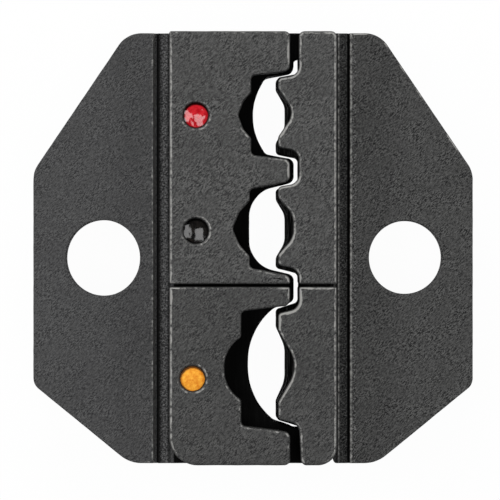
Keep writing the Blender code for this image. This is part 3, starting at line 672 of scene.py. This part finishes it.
# Pins and their holes, marks and their recesses
pinEnds = cadEnds("nest_upper_pin_1")
pinValues = {
    "diameter": np.ptp(pinEnds[:, 0]), "holeGap": 0.02, "chamfer": 0.15,
    "low": pinEnds[0, 2], "high": pinEnds[1, 2], "holeTop": pinEnds[1, 2] + 0.1, "sides": 64,
    "bulge": 0.3,               # share of the chamfer that is left at its middle
    "endCap": 0.02,             # radius of the small flat that closes a round end
}
pinPlaces = {node: cadCentre(node) for node in (
    f"{half}_{end}_pin_{number}" for half in ("nest", "indenter") for end in ("upper", "lower")
    for number in (1, 2))}
markValues = {
    "diameter": np.ptp(cadEnds("mark_red")[:, 0]), "gap": 0.03, "recess": 0.5, "chamfer": 0.23,
    "chamferSteps": 6, "band": 0.15, "seat": 0.02, "thickness": 0.3, "dome": 0.12, "domeRows": 14,
    "endCap": 0.02, "sides": 96,
    # countersink: how its edge is worn and painted with highlight; drop: which side of it painted shade is on
    "wearAndPaintedLightShares": {"left": 0.5, "right": 0.3, "up": 0.42, "down": 0.3, "places": ()},
    "shaded": {"left": 0.0, "right": 0.4, "up": 0.0, "down": 0.9, "places": ()},
}
markPlaces = {name: cadCentre(f"mark_{name}") for name in ("red", "black", "yellow")}


def pinHole(place, low, high):
    # straight wall between two heights
    radius = pinValues["diameter"] / 2 + pinValues["holeGap"]
    return ringGrid(place, [(radius, low, 0), (radius, high, 0)], pinValues["sides"])


def markRecess(place):
    # floor, straight wall, a rounded countersink that opens to the face, and a band on the face
    v, high = markValues, stack["frontHigh"]
    radius = v["diameter"] / 2 + v["gap"]
    angle = np.linspace(0, math.pi / 2, v["chamferSteps"] + 1)
    flare = np.stack([radius + v["chamfer"] * (1 - np.cos(angle)),
                      high - v["chamfer"] * (1 - np.sin(angle)), 2 - angle / (math.pi / 2)], axis=1)
    rows = np.concatenate([[[radius, high - v["recess"], 2.0]], flare,
                           [[radius + v["chamfer"] + v["band"], high, 0.0]]])
    return ringGrid(place, rows, v["sides"], 0.0, v["wearAndPaintedLightShares"])


blockValues = {
    "frontRound": 0.2, "corner": 0.2, "end": 0.5, "nestFoot": 2.4, "indenterFoot": 1.6,
    "footRelief": 0.2, "band": 0.3, "shadedEnd": "lower",
    "marks": {"nest_front_upper": ("red", "black"), "nest_front_lower": ("yellow",)},
    # shares of painted highlight by the way an edge faces, and places of wear with painted highlight as (x,
    # y, reach, more)
    "wearAndPaintedLightShares": {
        "nest_half": {
            "left": 0.64, "right": 0.4, "up": 0.4, "down": 0.0,
            "places": ((3.0, 16.7, 0.9, 0.45), (3.0, 6.6, 0.8, 0.45), (3.0, -3.3, 0.8, 0.4),
                       (-7.0, -3.4, 0.8, 0.7)),
        },
        "indenter_half": {
            "left": 0.58, "right": 0.62, "up": 0.6, "down": 0.1,
            "places": ((3.9, -4.2, 1.3, 0.5), (2.4, -5.6, 1.0, 0.7)),
        },
    },
}


def makeBlock(node, corners, low, high, rounds):
    # die block: rim, pin holes that end blind at the front, and recesses for the marks
    half, _, end = node.split("_")
    body = half + "_half"
    blind = high > stack["carrierHigh"]
    rows = edgeRows(low, high, *rounds, blockValues["band"])
    grids = [plateGrid(corners, rows, blockValues["wearAndPaintedLightShares"][body])]
    lowCap, highCap, caps = [(0, 0)], [(0, -1)], []
    for number in (1, 2):
        place = pinPlaces[f"{half}_{end}_pin_{number}"]
        grids.append(pinHole(place, low, pinValues["holeTop"] if blind else high))
        lowCap.append((len(grids) - 1, 0))
        if blind:
            caps.append([(len(grids) - 1, -1)])
        else:
            highCap.append((len(grids) - 1, -1))
    for name in blockValues["marks"].get(node, ()):
        grids.append(markRecess(markPlaces[name]))
        caps.append([(len(grids) - 1, 0)])
        highCap.append((len(grids) - 1, -1))
    # the lower blocks take the darker copy, as painted shade
    finish = shadedBlockFinish if end == blockValues["shadedEnd"] else blockFinish
    finishPiece(node + "_forged", grids, caps + [lowCap, highCap], finish, body, node)


def nestBlocks():
    # outlines from the foot, counter-clockwise: insulation nests in front, conductor nests at the rear
    v, p = blockValues, plan
    levels = {
        "front": (p["nestLand"] - fit["frontNestSetback"], nestEdge, stack["frontLow"],
                  stack["frontHigh"], (0, v["frontRound"])),
        "rear": (p["nestLand"] - fit["rearNestSetback"], wireNestEdge, 0.0,
                 stack["rearHigh"], (v["frontRound"], 0)),
    }
    for level, (land, edge, low, high, rounds) in levels.items():
        upper = [(p["nestBack"], p["seamTop"], v["corner"]), (land, p["seamTop"], v["corner"]),
                 *edge(land, black), *edge(land, red),
                 (land, p["blockTop"], v["end"]), (p["nestBack"], p["blockTop"], v["corner"])]
        makeBlock(f"nest_{level}_upper", upper, low, high, rounds)
        lower = [(p["nestBack"], -p["blockTop"], v["nestFoot"]), (land, -p["blockTop"], v["end"]),
                 *edge(land, yellow),
                 (land, p["seamBottom"], v["corner"]), (p["nestBack"], p["seamBottom"], v["corner"])]
        makeBlock(f"nest_{level}_lower", lower, low, high, rounds)


def indenterBlocks():
    # the same with the teeth, whose edge is listed downwards on this half
    v, p = blockValues, plan
    levels = {
        "front": (p["indenterLand"] + fit["frontIndenterSetback"], toothEdge, stack["frontLow"],
                  stack["frontHigh"], (0, v["frontRound"])),
        "rear": (p["indenterLand"] - fit["rearIndenterAdvance"],
                 lambda land, size: wireToothEdge(land, size, 2), 0.0, stack["rearHigh"],
                 (v["frontRound"], 0)),
    }
    for level, (land, edge, low, high, rounds) in levels.items():
        upper = [(land, p["seamTop"], v["corner"]), (p["indenterBack"], p["seamTop"], v["corner"]),
                 (p["indenterBack"], p["blockTop"], v["end"]), (land, p["blockTop"], v["end"]),
                 *(edge(land, black) + edge(land, red))[::-1]]
        makeBlock(f"indenter_{level}_upper", upper, low, high, rounds)
        lower = [(land + v["footRelief"], -p["blockTop"], v["end"]),
                 (p["indenterBack"], -p["blockTop"], v["indenterFoot"]),
                 (p["indenterBack"], p["seamBottom"], v["corner"]), (land, p["seamBottom"], v["corner"]),
                 *edge(land, yellow)[::-1]]
        makeBlock(f"indenter_{level}_lower", lower, low, high, rounds)


nestBlocks()
indenterBlocks()
print("die blocks made")


# Carriers: the plate in the middle of each half, with its flap, its bore and the relief grooves
carrierValues = {
    "edgeRound": 0.12, "band": 0.1, "boreSides": 160, "hornRound": 0.3,
    "grooveDepth": 0.4, "slitWidth": 0.22, "slitDepth": 0.9,
    "cutterSpare": 1.0,         # how far a cutter stands out of what it cuts
    # flap edges: wear with painted highlight at some places
    "wearAndPaintedLightShares": {
        "left": 0.0, "right": 0.0, "up": 0.0, "down": 0.0,
        "places": ((9.1, 18.3, 0.9, 1.0), (11.4, 17.3, 0.6, 0.7), (12.6, 15.2, 0.8, 0.8),
                   (14.4, 13.1, 1.2, 0.7), (16.9, 8.9, 1.2, 0.9), (-9.0, -18.0, 0.7, 0.9)),
    },
}
grooveValues = {
    # distances from the back of the die block: where the groove begins and ends, and how far its
    # outer wall leans
    "nest": {"start": -0.1, "width": 1.395, "lean": 0.2},
    "indenter": {"start": 0.25, "width": 1.13, "lean": 0.02},
}


def grooveCutter(side, face, outwards):
    # groove section carried along Y: flat floor, a deep narrow slit and a leaning outer wall
    v, g = carrierValues, grooveValues["nest" if side < 0 else "indenter"]
    back = plan["nestBack"] if side < 0 else plan["indenterBack"]
    above = v["cutterSpare"]
    foot = g["width"] - g["lean"]
    rise = g["lean"] * above / v["slitDepth"]
    section = np.array([
        [g["start"], -v["grooveDepth"]], [foot - v["slitWidth"], -v["grooveDepth"]],
        [foot - v["slitWidth"], -v["slitDepth"]], [foot, -v["slitDepth"]],
        [g["width"] + rise, above], [g["start"], above],
    ])
    section = section * [side, outwards] + [back, face]
    y = np.array([-plan["blockTop"] - above, plan["blockTop"] + above])
    grid = np.stack([np.broadcast_to(section[:, 0], (2, len(section))),
                     np.broadcast_to(y[:, None], (2, len(section))),
                     np.broadcast_to(section[:, 1], (2, len(section)))], axis=-1)
    mesh = bpy.data.meshes.new("groove")
    count = len(section)
    faces = wallFaces(2, count, 0).tolist() + [list(range(count)), list(range(count, 2 * count))]
    mesh.from_pydata(grid.reshape(-1, 3) * mm, [], faces)
    shape = bmesh.new()
    shape.from_mesh(mesh)
    bmesh.ops.recalc_face_normals(shape, faces=shape.faces)
    shape.to_mesh(mesh)
    shape.free()
    cutter = bpy.data.objects.new("groove", mesh)
    bpy.context.scene.collection.objects.link(cutter)
    return cutter


def flapCorners(side):
    # four corners of the flap, from its foot to its top
    p = plan
    outer = side * p["halfWidth"]
    return [
        (outer - side * p["flapFootCut"], -p["carrierTop"], p["flapFootRound"]),
        (outer, -p["carrierTop"] + p["flapFootRise"], p["flapSideRound"]),
        (outer, p["carrierTop"] - p["flapTopDrop"], p["flapTopRound"]),
        (outer - side * p["flapTopCut"], p["carrierTop"], p["flapTopRound"]),
    ]


def boreGrid(side, rows):
    # bore with the rim's rounded edge at both faces, a little oval in the nest half
    bore = plan["nestBore" if side < 0 else "indenterBore"]
    rows = rows + [bore["diameter"] / 2, 0, 0]
    return ringGrid(bore["place"], rows, carrierValues["boreSides"], bore["stretch"])


def makeCarrier(node, side, corners, material, body):
    v = carrierValues
    rows = edgeRows(stack["carrierLow"], stack["carrierHigh"], v["edgeRound"], v["edgeRound"], v["band"])
    grids = [plateGrid(corners, rows, v["wearAndPaintedLightShares"]), boreGrid(side, rows)]
    grids += [pinHole(place, stack["carrierLow"], stack["carrierHigh"])
              for place in pinPlaces.values() if place[0] * side > 0]
    caps = [[(number, row) for number in range(len(grids))] for row in (0, -1)]
    cutters = [grooveCutter(side, stack["carrierHigh"], 1), grooveCutter(side, stack["carrierLow"], -1)]
    finishPiece(node + "_plate", grids, caps, material, body, node, cutters)


def carriers():
    p, horn = plan, carrierValues["hornRound"]
    land = p["nestLand"]
    flap = flapCorners(-1)
    nest = [
        flap[0], (p["hornTip"], -p["carrierTop"], horn), (p["hornTip"], p["lowerHorn"], horn),
        *wireNestEdge(land, yellow), *wireNestEdge(land, black), *wireNestEdge(land, red),
        (land, p["upperHorn"], horn), (p["hornTip"], p["upperHorn"], horn),
        (p["hornTip"], p["carrierTop"], horn), *flap[:0:-1],
    ]
    makeCarrier("nest_carrier", -1, nest, nestPlateFinish, "nest_half")
    land = p["indenterLand"]
    edge = wireToothEdge(land, yellow, 1) + wireToothEdge(land, black, 1) + wireToothEdge(land, red, 1)
    edge[0] = (land, p["lowerHorn"] + p["hornGap"], fit["wireRootRound"])
    indenter = [
        *flapCorners(1), (p["slotEnd"], p["carrierTop"], horn),
        (p["slotEnd"], p["upperHorn"] - p["hornGap"], horn), (land, p["upperHorn"] - p["hornGap"], horn),
        *edge[::-1],
        (p["slotEnd"], p["lowerHorn"] + p["hornGap"], horn), (p["slotEnd"], -p["carrierTop"], horn),
    ]
    makeCarrier("indenter_carrier", 1, indenter, indenterPlateFinish, "indenter_half")


carriers()
print("carriers made")


def pins():
    # round bar with a bulging chamfer at its rear end and a plain one at the blind end in front
    v = pinValues
    radius, c = v["diameter"] / 2, v["chamfer"]
    left = c * v["bulge"]
    rows = [(v["endCap"], v["low"], 0), (radius - c, v["low"], 0), (radius - left, v["low"] + left, 0),
            (radius, v["low"] + c, 0), (radius, v["high"] - c, 0), (radius - c, v["high"], 0)]
    for node, place in pinPlaces.items():
        grid = ringGrid(place, rows, v["sides"])
        body = "nest_half" if place[0] < 0 else "indenter_half"
        finishPiece(node + "_ground", [grid], [[(0, 0)], [(0, -1)]], pinFinish, body, node)


def marks():
    # drop of enamel: flat underside, low wall and a dome that falls with the square of the radius
    v = markValues
    radius = v["diameter"] / 2
    low = stack["frontHigh"] - v["recess"] + v["seat"]
    wall = low + v["thickness"] - v["dome"]
    share = np.linspace(1, v["endCap"], v["domeRows"])
    dome = np.stack([radius * share, wall + v["dome"] * (1 - share ** 2), share], axis=1)
    rows = np.concatenate([[[radius, low, 1.0]], dome])
    for name, place in markPlaces.items():
        grid = ringGrid(place, rows, v["sides"], 0.0, v["shaded"])
        finishPiece(f"mark_{name}_drop", [grid], [[(0, 0)], [(0, -1)]], markFinishes[name],
                    "nest_half", f"mark_{name}")


pins()
marks()
print("pins and marks made")


# Floor, background and lamps
studio = {
    "floorHalf": 900, "floorParts": 4, "floorDrop": 0.02, "floorColour": "#f4f4f3",
    "floorRoughness": 0.9, "whiteShare": 0.97, "worldTone": "#c9ccd0", "worldLevel": 0.2,
    "flagHeight": 900, "flagRadius": 900, "flagHole": 9, "flagSides": 48, "flagColour": "#050505",
}


def whiteForCamera(tree):
    # 1 for rays that show a background: camera, glossy and transmission rays
    rays = addNode(tree, "LightPath").node.outputs
    seen = addNode(tree, "Math", largest, [rays["Is Camera Ray"], rays["Is Glossy Ray"]])
    return addNode(tree, "Math", largest, [seen, rays["Is Transmission Ray"]])


def makeFloor():
    # flat square grid just under the object
    half, parts = studio["floorHalf"], studio["floorParts"]
    side = np.linspace(-half, half, parts + 1)
    x, y = np.meshgrid(side, side, indexing="ij")
    points = np.stack([x, y, np.full_like(x, -studio["floorDrop"])], axis=-1).reshape(-1, 3) * mm
    i, j = np.meshgrid(np.arange(parts), np.arange(parts), indexing="ij")
    first, second = i * (parts + 1) + j, (i + 1) * (parts + 1) + j
    quads = np.stack([first, second, second + 1, first + 1], axis=-1)
    mesh = bpy.data.meshes.new("studioFloor")
    mesh.from_pydata(points, [], quads.reshape(-1, 4).tolist())
    floor = bpy.data.objects.new("studioFloor", mesh)
    bpy.context.scene.collection.objects.link(floor)
    # matt white paper, mostly plain white to the camera, with the rest left to show the shadow
    material, tree, shader = newMaterial("mattWhitePaper")
    feed(tree, shader, {
        "Base Color": hexLinear(studio["floorColour"]), "Roughness": studio["floorRoughness"],
    })
    share = addNode(tree, "Math", times, [whiteForCamera(tree), studio["whiteShare"]])
    white = addNode(tree, "Emission", {}, {"Color": (1, 1, 1, 1), "Strength": 1.0})
    mix = addNode(tree, "MixShader", {}, [share, shader.outputs[0], white])
    feed(tree, tree.nodes["Material Output"], {"Surface": mix})
    mesh.materials.append(material)


def makeWorld():
    world = bpy.data.worlds.new("softStudio")
    bpy.context.scene.world = world
    world.use_nodes = True
    tree = world.node_tree
    lit = tree.nodes["Background"]
    feed(tree, lit, {"Color": hexLinear(studio["worldTone"]), "Strength": studio["worldLevel"]})
    white = addNode(tree, "Background", {}, {"Color": (1, 1, 1, 1), "Strength": 1.0})
    mix = addNode(tree, "MixShader", {}, [whiteForCamera(tree), lit.outputs[0], white])
    feed(tree, tree.nodes["World Output"], {"Surface": mix})


lamps = {
    # places and sizes in mm, power in watts
    "upperSoftbox": {"place": (-60, 420, 330), "size": (260, 160), "power": 1.5},
    "windowLeft": {"place": (-131, 6, 400), "size": (92, 190), "power": 0.33},
    "windowRight": {"place": (40, -50, 400), "size": (125, 165), "power": 0.4},
    "rimLeft": {"place": (-420, 60, 300), "size": (120, 220), "power": 0.7},
    "rimRight": {"place": (420, 60, 300), "size": (120, 220), "power": 0.6},
}


def makeFlag():
    # black card behind the camera, so that gloss that faces it stays dark
    sides = studio["flagSides"]
    rows = [(radius, studio["flagHeight"], 0) for radius in (studio["flagHole"], studio["flagRadius"])]
    grid = ringGrid((0, 0), rows, sides)
    mesh = bpy.data.meshes.new("blackFlag")
    mesh.from_pydata(grid[..., :3].reshape(-1, 3) * mm, [], wallFaces(2, sides, 0).tolist())
    flag = bpy.data.objects.new("blackFlag", mesh)
    bpy.context.scene.collection.objects.link(flag)
    flag.visible_camera = False
    material, tree, shader = newMaterial("blackVelvet")
    feed(tree, shader, {
        "Base Color": hexLinear(studio["flagColour"]), "Roughness": 1.0, "Specular IOR Level": 0.0,
    })
    mesh.materials.append(material)


def makeLamps():
    for name, v in lamps.items():
        light = bpy.data.lights.new(name, "AREA")
        light.shape = "RECTANGLE"
        light.size, light.size_y = v["size"][0] * mm, v["size"][1] * mm
        light.energy = v["power"]
        lamp = bpy.data.objects.new(name, light)
        bpy.context.scene.collection.objects.link(lamp)
        place = np.array(v["place"], dtype=float) * mm
        lamp.location = place
        # the lamp faces the origin, with its width level along the closing direction
        back = place / np.linalg.norm(place)
        across = np.cross([0, 1, 0], back)
        across = across / np.linalg.norm(across)
        lamp.rotation_euler = Matrix(np.stack([across, np.cross(back, across), back], axis=1)).to_euler()


cameraValues = {"lens": 669, "sensor": 36, "place": (-0.26, -0.15, 800), "nearest": 50, "farthest": 10000}


def makeCamera():
    # straight down on the front faces, from far away, as the photograph is taken
    data = bpy.data.cameras.new("frontCamera")
    data.lens = cameraValues["lens"]
    data.sensor_width = cameraValues["sensor"]
    data.clip_start = cameraValues["nearest"] * mm
    data.clip_end = cameraValues["farthest"] * mm
    camera = bpy.data.objects.new("frontCamera", data)
    bpy.context.scene.collection.objects.link(camera)
    camera.location = np.array(cameraValues["place"]) * mm
    bpy.context.scene.camera = camera


makeFloor()
makeWorld()
makeFlag()
makeLamps()
makeCamera()
bpy.context.scene.view_settings.view_transform = "Standard"
print("floor, world, lamps and camera made")
